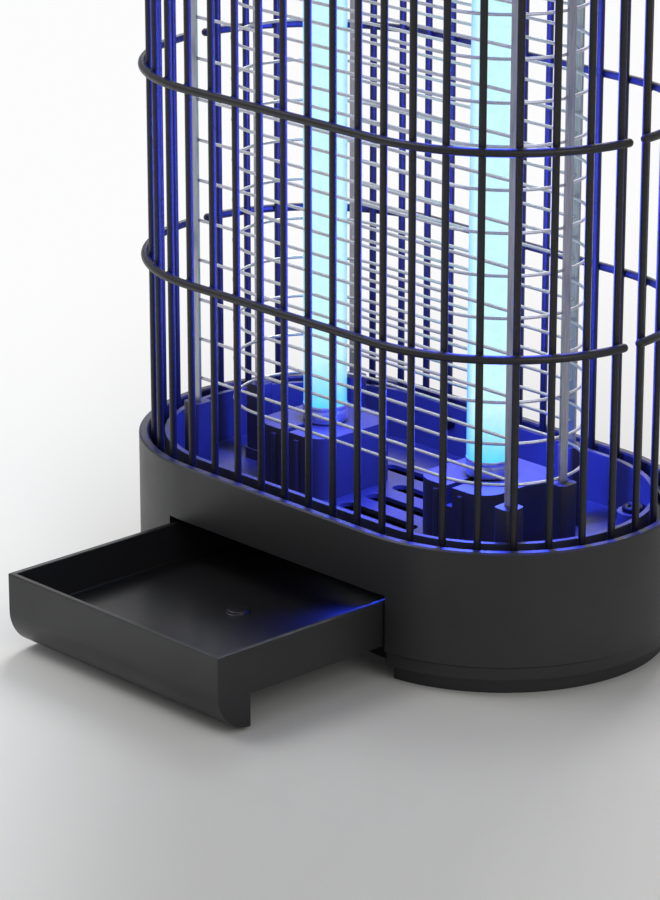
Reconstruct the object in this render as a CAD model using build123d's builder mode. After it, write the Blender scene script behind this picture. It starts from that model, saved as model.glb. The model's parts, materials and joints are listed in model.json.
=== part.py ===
from build123d import *
import math
import os

os.makedirs("parts", exist_ok=True)

# Twin-lamp electric bug zapper. Millimetres. X runs along the stadium-shaped housing, the tray
# pulls out towards -Y, Z is up, and the origin is the centre of the stadium on the floor.

# ---------------------------------------------------------------- driving dimensions
half_span = 47.5  # from the middle to the centre of each round end
outer_radius = 65.0  # outside of both housings' round ends
shell_wall = 3.0
base_shell_bottom = 11.0
base_rim = 52.5
deck_drop = 19.0  # from a rim to the recessed deck
deck_thickness = 1.8
fit_gap = 0.3  # between pieces that drop into each other
rim_chamfer = 0.6

# foot of the base
foot_height = 2.0
foot_radius = 8.0
foot_x = 66.0
foot_y = 30.0
foot_boss_margin = 1.0
foot_edge = 0.5
pan_bottom = 0.0
pan_step = 6.0
foot_inset = 4.5  # of the pan's foot and the cap's crown from the housings' outside
step_inset = 1.0
seat_inset = 2.0
pan_shadow_gap = 0.5
pan_plate = 2.5
pan_top = 12.3
pan_wall = 2.5

# collecting tray, drawn pulled out
tray_width = 110.0
tray_length = 112.0
tray_pull = 75.3
tray_bottom = 12.8
tray_rim = 29.3
tray_wall = 2.2
tray_floor = 2.0
tray_lip_radius = 14.5
tray_side_gap = 0.75
lip_centre_rise = 2.7  # of the lip curve's centre above the tray's underside
tray_boss_radius = 4.0
tray_boss_height = 1.2
tray_boss_setback = 58.5
guide_wall = 2.0
guide_back_inset = 15.0

# rim groove and the wall of the recessed decks
groove_outer_wall = 3.5
deck_wall_inset = 9.5
deck_wall = 2.0
groove_depth = 7.9
flange_thickness = 1.6
ledge_thickness = 2.5

# insect slots in the deck
slot_width = 6.0
slot_pitch = 13.5
short_slot_length = 38.0
long_slot_length = 76.0

# screw bosses, at the same four places in both housings
boss_inset = 16.9
front_boss_angle = 64.0
rear_boss_angle = 52.0
boss_radius = 4.5
rib_drop = 1.0  # of each boss's rib below the boss
deck_boss_radius = 6.0
deck_boss_height = 9.5
screw_radius = 1.5
screw_head_radius = 3.4
screw_head_height = 2.4
screw_bite = 8.0
deck_screw_head = 4.2
deck_screw_dome = 1.2

# lamps: 16 mm tubes with two-pin caps
lamp_x = 42.0
lamp_radius = 8.0
lamp_length = 288.0
lamp_tuck = 11.7  # how much longer the lamp is than the cage between the two rims
lamp_end_gap = 0.3
cap_wall = 0.2
cap_length = 6.5
cap_skirt = 4.0
pin_radius = 1.175
pin_spacing = 5.0
pin_length = 7.0
socket_length = 36.0
socket_depth = 40.0
socket_height = 23.5
socket_corner = 9.0
pin_clearance = 0.4
socket_flange = 2.0
socket_flange_height = 2.4
socket_rib = 1.2
socket_rib_pitch = 6.0
socket_rib_drop = 2.0
socket_lap = 1.0  # of the flange under the holder

# electrified grid
loop_radius = 29.5
wire_radius = 0.6
wire_pitch = 15.0
first_loop = 64.5
first_straight = 72.0
strip_end_gap = 7.0  # least gap from the strips' tops to the upper deck
straight_gap = 1.5  # from the looped wires out to the straight ones
front_left = -77.0
front_right = 82.5
rear_left = -60.0
rear_right = 52.0
strip_width = 3.6
strip_thickness = 1.0
strip_bite = 0.4
strip_margin = 5.5
pillar_width = 8.0
pillar_foot = 9.0
pillar_foot_height = 4.0
pillar_corner = 2.0
pillar_overlap = 4.0

# cage
bar_count = 23
bar_radius = 1.3
bar_inset = 5.8
hoop_radius = 1.5
weld_bite = 0.3
hoop_pitch = 70.8
hoop_count = 3
rail_height = 3.0
rail_thickness = 2.2
front_seam_gap = 3.5
rear_seam_gap = 1.2
cage_screw_x = 30.5
cage_screw_radius = 1.2
cage_screw_head = 2.6
cage_screw_head_height = 1.6

# top housing
top_shell_height = 41.5
cap_step_height = 5.5
cap_height = 14.7
cap_plate = 2.5
cap_edge_fillet = 2.0
recess_inset = 21.0
recess_depth = 8.5

# hanging bail
bail_wire = 2.5
bail_half_width = 42.0
bail_reach = 36.0
bail_bend = 9.0
bail_pivot_height = 4.2  # above the floor of the recess
bail_pin_inside = 7.5
bail_running_gap = 0.05
ear_thickness = 5.0
ear_width = 11.0
ear_height = 8.0
ear_side_gap = 0.5

# electrics in the top housing
board_length = 80.0
board_width = 42.0
board_thickness = 1.6
standoff_height = 4.0
standoff_radius = 3.0
standoff_inset = 4.0
board_screw_head_height = 1.5
transformer_core = (26.0, 18.0, 15.0)
transformer_bulge = 3.0
choke_core = (20.0, 14.0, 13.0)
choke_bulge = 2.5
winding_share = 0.6  # of the core's height
coil_y = 18.0
choke_x = -6.0
choke_y = -16.0
capacitor_radius = 4.5
capacitor_height = 13.0
capacitor_x = 12.5
capacitor_first_y = -6.0
capacitor_pitch = 11.0
capacitor_count = 3
capacitor_edge = 0.8
resistor_radius = 1.6
resistor_length = 14.0
resistor_first_y = -29.0
resistor_pitch = 5.0
fuse_y = 1.5
fuse_length = 20.0
fuse_radius = 2.6
fuse_height = 3.2
fuse_clip_x = 7.5
fuse_clip_width = 3.0
fuse_clip_wall = 0.6
fuse_clip_rise = 1.3
switch_x = 25.0
switch_length = 19.0
switch_height = 13.0
switch_depth = 12.0
switch_wall = 1.8
bezel_margin = 1.8
bezel_thickness = 1.5
bezel_corner = 1.5
rocker_radius = 7.4
rocker_gap = 0.3
rocker_tilt = 9.0
rocker_valley = 1.5
rocker_back = 4.0
rocker_pin_radius = 1.0
rocker_pin_gap = 0.06
rocker_pin_length = 1.0
rocker_pivot_depth = 1.0  # of the pins behind the rear wall's face
gland_x = -28.0
gland_bore = 3.3
gland_neck = 5.5
gland_collar = 7.5
gland_collar_length = 4.0
gland_inside = 9.0
gland_edge = 2.0
gland_nut_radius = 8.5
gland_nut_length = 3.5

# ---------------------------------------------------------------- worked-out levels
inner_radius = outer_radius - shell_wall
foot_outline = outer_radius - foot_inset
step_outline = outer_radius - step_inset
seat_outline = outer_radius - seat_inset
deck_wall_radius = outer_radius - deck_wall_inset
bar_ring = outer_radius - bar_inset
boss_ring = outer_radius - boss_inset
recess_radius = outer_radius - recess_inset
guide_back = outer_radius - guide_back_inset
cap_radius = lamp_radius + cap_wall
straight_y = loop_radius + straight_gap
cage_height = lamp_length - lamp_tuck
first_hoop = (cage_height - (hoop_count - 1) * hoop_pitch) / 2  # above the base's rim
deck_top = base_rim - deck_drop
deck_bottom = deck_top - deck_thickness
flange_top = base_rim - groove_depth
ledge_top = flange_top - flange_thickness
top_rim = base_rim + cage_height
top_deck_bottom = top_rim + deck_drop
top_deck_top = top_deck_bottom + deck_thickness
top_flange_bottom = top_rim + groove_depth
top_ledge_bottom = top_flange_bottom + flange_thickness
top_shell_top = top_rim + top_shell_height
cap_top = top_shell_top + cap_height
recess_floor = cap_top - recess_depth
cap_underside = recess_floor - cap_plate
socket_face = deck_top + socket_height
upper_socket_face = socket_face + lamp_length
tray_half = tray_width / 2
tray_front = -(outer_radius + tray_pull)
tray_back = tray_front + tray_length
tunnel_half = tray_half + tray_side_gap
pocket_back = -outer_radius + tray_lip_radius + 2 * tray_side_gap
hoop_ring = bar_ring + bar_radius + hoop_radius - weld_bite
strip_bottom = first_loop - strip_margin
strip_room = top_deck_bottom - strip_end_gap - strip_margin - first_loop
loop_count = int(strip_room // wire_pitch) + 1
straight_count = loop_count - 1
strip_top = first_loop + (loop_count - 1) * wire_pitch + strip_margin
board_bottom = top_deck_top + standoff_height
board_top = board_bottom + board_thickness
bail_pivot = recess_floor + bail_pivot_height
service_height = (top_ledge_bottom + ledge_thickness + cap_underside) / 2


def finish(name, builder):
    """Label a finished sub-part and write it as its own STEP file."""
    builder.part.label = name
    export_step(builder.part, f"parts/{name}.step")


def stadium(radius, mode=Mode.ADD):
    """Stadium outline with round ends of this radius."""
    SlotCenterToCenter(2 * half_span, 2 * radius, mode=mode)


def stadium_band(outer, inner):
    """The band between two stadium outlines."""
    stadium(outer)
    stadium(inner, Mode.SUBTRACT)


def corners(x, y):
    """The four places at plus and minus x and y."""
    return [(sx * x, sy * y) for sx in (-1, 1) for sy in (-1, 1)]


def half_path_point(radius, distance):
    """Point on the front half of a stadium line, measured from its right-hand seam at y = 0."""
    quarter = math.pi * radius / 2
    if distance < quarter:
        turn = distance / radius
        return (half_span + radius * math.cos(turn), -radius * math.sin(turn))
    if distance < quarter + 2 * half_span:
        return (half_span - (distance - quarter), -radius)
    turn = (distance - quarter - 2 * half_span) / radius
    return (-half_span - radius * math.sin(turn), -radius * math.cos(turn))


def spoke_point(side, turn, distance):
    """Point this far from the centre of the left (-1) or right (+1) round end, turned from X."""
    x = half_span + distance * math.cos(math.radians(turn))
    return (side * x, distance * math.sin(math.radians(turn)))


boss_spokes = [(side, turn) for side in (-1, 1) for turn in (-front_boss_angle, rear_boss_angle)]
boss_places = [spoke_point(side, turn, boss_ring) for side, turn in boss_spokes]


# ---------------------------------------------------------------- base
with BuildPart() as base_shell:
    with BuildSketch(Plane.XY.offset(base_shell_bottom)):
        stadium_band(outer_radius, inner_radius)
    extrude(amount=base_rim - base_shell_bottom)
    with BuildSketch(Plane.XY.offset(flange_top)):
        stadium_band(inner_radius + shell_wall / 2, outer_radius - groove_outer_wall)
    extrude(amount=groove_depth)
    with BuildSketch(Plane.XY.offset(ledge_top - ledge_thickness)):
        stadium_band(inner_radius + shell_wall / 2, deck_wall_radius + fit_gap)
    extrude(amount=ledge_thickness)
    with BuildSketch(Plane.XY.offset(pan_top)):
        with Locations(*boss_places):
            Circle(boss_radius)
    extrude(amount=deck_bottom - pan_top)
    with BuildSketch(Plane.XY.offset(pan_top)):
        for side, turn in boss_spokes:
            rib_middle = (*spoke_point(side, turn, (boss_ring + inner_radius) / 2), 0)
            with Locations(Location(rib_middle, (0, 0, side * turn))):
                Rectangle(inner_radius - boss_ring + shell_wall / 2, shell_wall)
    extrude(amount=deck_bottom - pan_top - rib_drop)
    with BuildSketch(Plane.XY.offset(pan_top)):
        with Locations(*boss_places):
            Circle(screw_radius)
    extrude(amount=deck_bottom - pan_top, mode=Mode.SUBTRACT)
    with BuildSketch(Plane.XY.offset(base_shell_bottom)):
        with Locations((0, -outer_radius)):
            Rectangle(2 * tunnel_half, 4 * shell_wall)
    extrude(amount=deck_bottom - base_shell_bottom, mode=Mode.SUBTRACT)
    rim_face = base_shell.faces().filter_by(Axis.Z).sort_by(Axis.Z)[-1]
    chamfer(rim_face.edges(), length=rim_chamfer)
finish("base_shell", base_shell)

with BuildPart() as base_pan:
    with BuildSketch(Plane.XY.offset(pan_bottom)):
        stadium(foot_outline)
    extrude(amount=pan_step - pan_bottom)
    with BuildSketch(Plane.XY.offset(pan_step)):
        stadium(step_outline)
    extrude(amount=base_shell_bottom - pan_shadow_gap - pan_step)
    with BuildSketch(Plane.XY.offset(base_shell_bottom - pan_shadow_gap)):
        stadium(seat_outline)
    extrude(amount=pan_shadow_gap)
    with BuildSketch(Plane.XY.offset(base_shell_bottom)):
        stadium(inner_radius - fit_gap)
    extrude(amount=pan_top - base_shell_bottom)
    # hollow underneath, except round the pocket for the tray's lip
    with BuildSketch(Plane.XY.offset(pan_bottom)):
        stadium(foot_outline - pan_wall)
        with Locations((0, pocket_back + pan_wall - outer_radius)):
            Rectangle(2 * (tunnel_half + pan_wall), 2 * outer_radius, mode=Mode.SUBTRACT)
    extrude(amount=pan_top - pan_plate - pan_bottom, mode=Mode.SUBTRACT)
    with BuildSketch(Plane.XY.offset(pan_bottom)):
        with Locations((0, pocket_back - outer_radius)):
            Rectangle(2 * tunnel_half, 2 * outer_radius)
    extrude(amount=pan_top - pan_bottom, mode=Mode.SUBTRACT)
    with BuildSketch(Plane.XY.offset(foot_height)):
        with Locations(*corners(foot_x, foot_y)):
            Circle(foot_radius + foot_boss_margin)
    extrude(amount=pan_top - pan_plate - foot_height)
    with BuildSketch(Plane.XY.offset(pan_bottom)):
        with Locations(*boss_places):
            Circle(screw_radius)
    extrude(amount=pan_top - pan_bottom, mode=Mode.SUBTRACT)
finish("base_pan", base_pan)

with BuildPart() as rubber_feet:
    with BuildSketch():
        with Locations(*corners(foot_x, foot_y)):
            Circle(foot_radius)
    extrude(amount=foot_height)
    foot_soles = rubber_feet.faces().filter_by(Axis.Z).group_by(Axis.Z)[0]
    chamfer(foot_soles.edges(), length=foot_edge)
finish("rubber_feet", rubber_feet)


def vertical_screws(head_seat, tip, places, head_radius=screw_head_radius):
    """Pan-head screws: a domed head standing on its seat and a plain shank down to the tip."""
    with BuildSketch(Plane.XY.offset(head_seat)) as shanks:
        with Locations(*places):
            Circle(screw_radius)
    extrude(shanks.sketch, amount=tip - head_seat)
    with BuildSketch(Plane.XY.offset(head_seat)) as heads:
        with Locations(*places):
            Circle(head_radius)
    extrude(heads.sketch, amount=math.copysign(screw_head_height, head_seat - tip))


with BuildPart() as pan_screws:
    vertical_screws(pan_top - pan_plate, pan_top + screw_bite, boss_places)
finish("pan_screws", pan_screws)

guide_past_straight = max(0.0, tunnel_half + guide_wall - half_span)
guide_front = -math.sqrt(inner_radius**2 - guide_past_straight**2)
with BuildPart() as tray_guides:
    with BuildSketch(Plane.XY.offset(pan_top)):
        for side in (-1, 1):
            with Locations((side * (tunnel_half + guide_wall / 2), (guide_back + guide_front) / 2)):
                Rectangle(guide_wall, guide_back - guide_front)
    extrude(amount=deck_bottom - pan_top)
finish("tray_guides", tray_guides)

# ---------------------------------------------------------------- collecting tray
lip_centre = (tray_front + tray_lip_radius, tray_bottom + lip_centre_rise)

with BuildPart() as collecting_tray:
    with BuildSketch(Plane.YZ.offset(-tray_half)):
        with BuildLine():
            Polyline((lip_centre[0], lip_centre[1] - tray_lip_radius), (lip_centre[0], tray_bottom),
                     (tray_back, tray_bottom), (tray_back, tray_rim), (tray_front, tray_rim),
                     (tray_front, lip_centre[1]))
            CenterArc(lip_centre, tray_lip_radius, 180, 90)
        make_face()
    extrude(amount=tray_width)
    with BuildSketch(Plane.XY.offset(tray_bottom + tray_floor)):
        with Locations((0, (tray_front + tray_back) / 2)):
            Rectangle(tray_width - 2 * tray_wall, tray_length - 2 * tray_wall)
    extrude(amount=tray_rim, mode=Mode.SUBTRACT)
    # hollow behind the lip
    with BuildSketch(Plane.YZ.offset(-tray_half + tray_wall)):
        with Locations(lip_centre):
            Circle(tray_lip_radius - tray_wall)
        with Locations((lip_centre[0], lip_centre[1] + tray_lip_radius)):
            Rectangle(4 * tray_lip_radius, 2 * (tray_lip_radius + lip_centre_rise), mode=Mode.SUBTRACT)
        with Locations((lip_centre[0] + tray_lip_radius, lip_centre[1])):
            Rectangle(2 * tray_lip_radius, 4 * tray_lip_radius, mode=Mode.SUBTRACT)
    extrude(amount=tray_width - 2 * tray_wall, mode=Mode.SUBTRACT)
    with BuildSketch(Plane.XY.offset(tray_bottom + tray_floor)):
        with Locations((0, tray_front + tray_boss_setback)):
            Circle(tray_boss_radius)
    extrude(amount=tray_boss_height)
finish("collecting_tray", collecting_tray)

# ---------------------------------------------------------------- recessed insect deck
slot_places = [(0, row * slot_pitch) for row in (-1, 0, 1)]
long_slot_places = [(0, row * slot_pitch) for row in (-2, 2)]

with BuildPart() as insect_deck:
    with BuildSketch(Plane.XY.offset(deck_bottom)):
        stadium_band(deck_wall_radius, deck_wall_radius - deck_wall)
    extrude(amount=base_rim - deck_bottom)
    with BuildSketch(Plane.XY.offset(deck_bottom)):
        stadium(deck_wall_radius - deck_wall / 2)
    extrude(amount=deck_thickness)
    with BuildSketch(Plane.XY.offset(ledge_top)):
        stadium_band(outer_radius - groove_outer_wall - fit_gap, deck_wall_radius - deck_wall / 2)
    extrude(amount=flange_thickness)
    with BuildSketch(Plane.XY.offset(deck_top)):
        with Locations(*boss_places):
            Circle(deck_boss_radius)
        stadium(deck_wall_radius, Mode.INTERSECT)
    extrude(amount=deck_boss_height)
    with BuildSketch(Plane.XY.offset(deck_bottom)):
        with Locations(*slot_places):
            SlotOverall(short_slot_length, slot_width)
        with Locations(*long_slot_places):
            SlotOverall(long_slot_length, slot_width)
    extrude(amount=deck_thickness, mode=Mode.SUBTRACT)
    with BuildSketch(Plane.XY.offset(deck_bottom)):
        with Locations(*boss_places):
            Circle(screw_radius)
    extrude(amount=deck_thickness + deck_boss_height, mode=Mode.SUBTRACT)
    with BuildSketch(Plane.XZ):
        with Locations(*[(side * cage_screw_x, flange_top + rail_height / 2) for side in (-1, 1)]):
            Circle(cage_screw_radius)
    extrude(amount=outer_radius, both=True, mode=Mode.SUBTRACT)
finish("insect_deck", insect_deck)

with BuildPart() as deck_screws:
    vertical_screws(deck_top + deck_boss_height, deck_bottom - screw_bite, boss_places,
                    deck_screw_head)
    deck_heads = deck_screws.faces().filter_by(Axis.Z).group_by(Axis.Z)[-1]
    fillet(deck_heads.edges(), radius=deck_screw_dome)
finish("deck_screws", deck_screws)


# ---------------------------------------------------------------- lamps and their holders
def lamp_socket(x, face, direction):
    """A rounded holder whose pin pocket opens at the face, towards the lamp.

    Direction is -1 when the body lies below the face and +1 when it lies above. A slot runs from
    the pocket to the front, so the pins can slide in before the lamp is turned.
    """
    with BuildSketch(Plane.XY.offset(face)) as outline:
        with Locations((x, 0)):
            RectangleRounded(socket_length, socket_depth, socket_corner)
    extrude(outline.sketch, amount=direction * socket_height)
    with BuildSketch(Plane.XY.offset(face)) as pocket:
        with Locations((x, 0)):
            Circle(pin_spacing / 2 + pin_radius + pin_clearance)
        with Locations((x, -socket_depth / 2)):
            Rectangle(2 * (pin_radius + pin_clearance), socket_depth)
    extrude(pocket.sketch, amount=direction * (pin_length + lamp_end_gap), mode=Mode.SUBTRACT)


for side, lamp_side in (("left", -1), ("right", 1)):
    with BuildPart() as lower_socket:
        lamp_socket(lamp_side * lamp_x, socket_face, -1)
        # ribs moulded on the long faces
        with BuildSketch(Plane.XY.offset(deck_top)):
            for step in (-1, 0, 1):
                with Locations((lamp_side * lamp_x + step * socket_rib_pitch, -socket_depth / 2),
                               (lamp_side * lamp_x + step * socket_rib_pitch, socket_depth / 2)):
                    Circle(socket_rib)
            with Locations((lamp_side * lamp_x, 0)):
                Rectangle(2 * (pin_radius + pin_clearance), 2 * socket_depth, mode=Mode.SUBTRACT)
        extrude(amount=socket_height - socket_rib_drop)
    finish(f"lamp_socket_lower_{side}", lower_socket)
    with BuildPart() as upper_socket:
        lamp_socket(lamp_side * lamp_x, upper_socket_face, 1)
        with BuildSketch(Plane.XY.offset(top_deck_top)):
            with Locations((lamp_side * lamp_x, 0)):
                RectangleRounded(socket_length + 2 * socket_flange, socket_depth + 2 * socket_flange,
                                 socket_corner)
                RectangleRounded(socket_length - 2 * socket_lap, socket_depth - 2 * socket_lap,
                                 socket_corner - socket_lap, mode=Mode.SUBTRACT)
        extrude(amount=socket_flange_height)
    finish(f"lamp_socket_upper_{side}", upper_socket)

    lamp_bottom = socket_face + lamp_end_gap
    lamp_top = upper_socket_face - lamp_end_gap
    with BuildPart() as lamp_glass:
        with BuildSketch(Plane.XY.offset(lamp_bottom + cap_length - cap_skirt)):
            with Locations((lamp_side * lamp_x, 0)):
                Circle(lamp_radius)
        extrude(amount=lamp_top - lamp_bottom - 2 * (cap_length - cap_skirt))
    finish(f"lamp_{side}_glass", lamp_glass)
    with BuildPart() as lamp_caps:
        for cap_start, skirt_start in ((lamp_bottom, lamp_bottom + cap_length - cap_skirt),
                                       (lamp_top - cap_length, lamp_top - cap_length)):
            with BuildSketch(Plane.XY.offset(cap_start)):
                with Locations((lamp_side * lamp_x, 0)):
                    Circle(cap_radius)
            extrude(amount=cap_length)
            with BuildSketch(Plane.XY.offset(skirt_start)):
                with Locations((lamp_side * lamp_x, 0)):
                    Circle(lamp_radius)
            extrude(amount=cap_skirt, mode=Mode.SUBTRACT)
    finish(f"lamp_{side}_caps", lamp_caps)
    with BuildPart() as lamp_pins:
        for pin_start in (lamp_bottom - pin_length, lamp_top):
            with BuildSketch(Plane.XY.offset(pin_start)):
                with Locations((lamp_side * lamp_x - pin_spacing / 2, 0),
                               (lamp_side * lamp_x + pin_spacing / 2, 0)):
                    Circle(pin_radius)
            extrude(amount=pin_length)
    finish(f"lamp_{side}_pins", lamp_pins)

# ---------------------------------------------------------------- electrified grid
loop_levels = [first_loop + row * wire_pitch for row in range(loop_count)]
straight_levels = [first_straight + row * wire_pitch for row in range(straight_count)]

with BuildPart() as grid_loop_wires:
    for level in loop_levels:
        with BuildLine(Plane.XY.offset(level)) as loop_line:
            Line((-half_span, -loop_radius), (half_span, -loop_radius))
            CenterArc((half_span, 0), loop_radius, -90, 180)
            Line((half_span, loop_radius), (-half_span, loop_radius))
            CenterArc((-half_span, 0), loop_radius, 90, 180)
        with BuildSketch(Plane(origin=(0, -loop_radius, level), z_dir=(1, 0, 0))):
            Circle(wire_radius)
        sweep(path=loop_line.wires()[0])
finish("grid_loop_wires", grid_loop_wires)

loop_strip_x = half_span + loop_radius + wire_radius - strip_bite + strip_thickness / 2
loop_strip_places = [(-loop_strip_x, 0), (loop_strip_x, 0)]
with BuildPart() as grid_loop_strips:
    with BuildSketch(Plane.XY.offset(strip_bottom)):
        with Locations(*loop_strip_places):
            Rectangle(strip_thickness, strip_width)
    extrude(amount=strip_top - strip_bottom)
finish("grid_loop_strips", grid_loop_strips)

front_run = (front_left, front_right, -1)
rear_run = (rear_left, rear_right, 1)
with BuildPart() as grid_straight_wires:
    for left, right, side in (front_run, rear_run):
        with BuildSketch(Plane.YZ.offset(left)):
            with Locations(*[(side * straight_y, level) for level in straight_levels]):
                Circle(wire_radius)
        extrude(amount=right - left)
finish("grid_straight_wires", grid_straight_wires)

straight_strip_y = straight_y + wire_radius - strip_bite
straight_strip_places = [(x, side * (straight_strip_y + strip_thickness / 2))
                         for left, right, side in (front_run, rear_run) for x in (left, right)]
with BuildPart() as grid_straight_strips:
    with BuildSketch(Plane.XY.offset(strip_bottom)):
        with Locations(*straight_strip_places):
            Rectangle(strip_width, strip_thickness)
    extrude(amount=strip_top - strip_bottom)
finish("grid_straight_strips", grid_straight_strips)

pillar_places = straight_strip_places + loop_strip_places


def grid_pillars(start, end, foot_start):
    """Square insulating pillars with a wider foot, pierced where the strips stand in them."""
    with BuildSketch(Plane.XY.offset(start)) as pillars:
        with Locations(*pillar_places):
            RectangleRounded(pillar_width, pillar_width, pillar_corner)
    extrude(pillars.sketch, amount=end - start)
    with BuildSketch(Plane.XY.offset(foot_start)) as feet:
        with Locations(*pillar_places):
            RectangleRounded(pillar_foot, pillar_foot, pillar_corner)
    extrude(feet.sketch, amount=pillar_foot_height)
    with BuildSketch(Plane.XY.offset(strip_bottom)) as strip_slots:
        with Locations(*straight_strip_places):
            Rectangle(strip_width, strip_thickness)
        with Locations(*loop_strip_places):
            Rectangle(strip_thickness, strip_width)
    extrude(strip_slots.sketch, amount=strip_top - strip_bottom, mode=Mode.SUBTRACT)


with BuildPart() as grid_insulators_lower:
    grid_pillars(deck_top, strip_bottom + pillar_overlap, deck_top)
finish("grid_insulators_lower", grid_insulators_lower)

with BuildPart() as grid_insulators_upper:
    grid_pillars(strip_top - pillar_overlap, top_deck_bottom, top_deck_bottom - pillar_foot_height)
finish("grid_insulators_upper", grid_insulators_upper)

# ---------------------------------------------------------------- cage
half_length = math.pi * bar_ring + 2 * half_span
bar_pitch = half_length / bar_count
front_bars = [half_path_point(bar_ring, (index + 0.5) * bar_pitch) for index in range(bar_count)]
hoop_levels = [base_rim + first_hoop + index * hoop_pitch for index in range(hoop_count)]
cage_screw_places = [(side * cage_screw_x, level)
                     for side in (-1, 1)
                     for level in (flange_top + rail_height / 2, top_flange_bottom - rail_height / 2)]

for name, side, seam_gap in (("front", 1, front_seam_gap), ("rear", -1, rear_seam_gap)):
    with BuildPart() as cage_bars:
        with BuildSketch(Plane.XY.offset(flange_top + rail_height)):
            with Locations(*[(x, side * y) for x, y in front_bars]):
                Circle(bar_radius)
        extrude(amount=top_flange_bottom - flange_top - 2 * rail_height)
    finish(f"cage_{name}_bars", cage_bars)

    gap_angle = math.degrees(seam_gap / hoop_ring)
    with BuildPart() as cage_hoops:
        for level in hoop_levels:
            with BuildLine(Plane.XY.offset(level)) as hoop_line:
                CenterArc((half_span, 0), hoop_ring, -side * gap_angle, -side * (90 - gap_angle))
                Line((half_span, -side * hoop_ring), (-half_span, -side * hoop_ring))
                CenterArc((-half_span, 0), hoop_ring, -side * 90, -side * (90 - gap_angle))
            hoop_wire = hoop_line.wires()[0]
            with BuildSketch(Plane(origin=hoop_wire @ 0, z_dir=hoop_wire % 0)):
                Circle(hoop_radius)
            sweep(path=hoop_wire)
    finish(f"cage_{name}_hoops", cage_hoops)

    with BuildPart() as cage_rails:
        for level in (flange_top, top_flange_bottom - rail_height):
            with BuildSketch(Plane.XY.offset(level)):
                stadium_band(bar_ring + rail_thickness / 2, bar_ring - rail_thickness / 2)
                with Locations((0, -side * (outer_radius + seam_gap))):
                    Rectangle(4 * outer_radius + 2 * half_span, 2 * outer_radius, mode=Mode.INTERSECT)
            extrude(amount=rail_height)
        with BuildSketch(Plane.XZ):
            with Locations(*cage_screw_places):
                Circle(cage_screw_radius)
        extrude(amount=outer_radius, both=True, mode=Mode.SUBTRACT)
    finish(f"cage_{name}_rails", cage_rails)

# screws from inside each deck wall into the cage's rails
screw_seat = deck_wall_radius - deck_wall
with BuildPart() as cage_screws:
    for side in (-1, 1):
        with BuildSketch(Plane.XZ.offset(side * screw_seat)):
            with Locations(*cage_screw_places):
                Circle(cage_screw_radius)
        extrude(amount=side * (bar_ring + rail_thickness / 2 - screw_seat))
        with BuildSketch(Plane.XZ.offset(side * screw_seat)):
            with Locations(*cage_screw_places):
                Circle(cage_screw_head)
        extrude(amount=-side * cage_screw_head_height)
finish("cage_screws", cage_screws)

# ---------------------------------------------------------------- top housing
with BuildPart() as top_deck:
    with BuildSketch(Plane.XY.offset(top_rim)):
        stadium_band(deck_wall_radius, deck_wall_radius - deck_wall)
    extrude(amount=top_deck_top - top_rim)
    with BuildSketch(Plane.XY.offset(top_deck_bottom)):
        stadium(deck_wall_radius - deck_wall / 2)
    extrude(amount=deck_thickness)
    with BuildSketch(Plane.XY.offset(top_flange_bottom)):
        stadium_band(outer_radius - groove_outer_wall - fit_gap, deck_wall_radius - deck_wall / 2)
    extrude(amount=flange_thickness)
    with BuildSketch(Plane.XY.offset(top_deck_top)):
        with Locations(*boss_places):
            Circle(boss_radius)
    extrude(amount=cap_underside - top_deck_top)
    with BuildSketch(Plane.XY.offset(top_deck_bottom)):
        with Locations((-lamp_x, 0), (lamp_x, 0)):
            RectangleRounded(socket_length, socket_depth, socket_corner)
    extrude(amount=deck_thickness, mode=Mode.SUBTRACT)
    with BuildSketch(Plane.XY.offset(cap_underside - screw_bite)):
        with Locations(*boss_places):
            Circle(screw_radius)
    extrude(amount=screw_bite, mode=Mode.SUBTRACT)
    with BuildSketch(Plane.XZ):
        with Locations(*cage_screw_places):
            Circle(cage_screw_radius)
    extrude(amount=outer_radius, both=True, mode=Mode.SUBTRACT)
finish("top_deck", top_deck)

with BuildPart() as top_shell:
    with BuildSketch(Plane.XY.offset(top_rim)):
        stadium_band(outer_radius, inner_radius)
    extrude(amount=top_shell_height)
    with BuildSketch(Plane.XY.offset(top_rim)):
        stadium_band(inner_radius + shell_wall / 2, outer_radius - groove_outer_wall)
    extrude(amount=groove_depth)
    with BuildSketch(Plane.XY.offset(top_ledge_bottom)):
        stadium_band(inner_radius + shell_wall / 2, deck_wall_radius + fit_gap)
    extrude(amount=ledge_thickness)
    # openings in the rear wall for the switch and the cord gland
    with BuildSketch(Plane.XZ.offset(-outer_radius)):
        with Locations((switch_x, service_height)):
            Rectangle(switch_length, switch_height)
        with Locations((gland_x, service_height)):
            Circle(gland_neck)
    extrude(amount=2 * shell_wall, mode=Mode.SUBTRACT)
    top_rim_face = top_shell.faces().filter_by(Axis.Z).sort_by(Axis.Z)[0]
    chamfer(top_rim_face.edges(), length=rim_chamfer)
finish("top_shell", top_shell)

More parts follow.
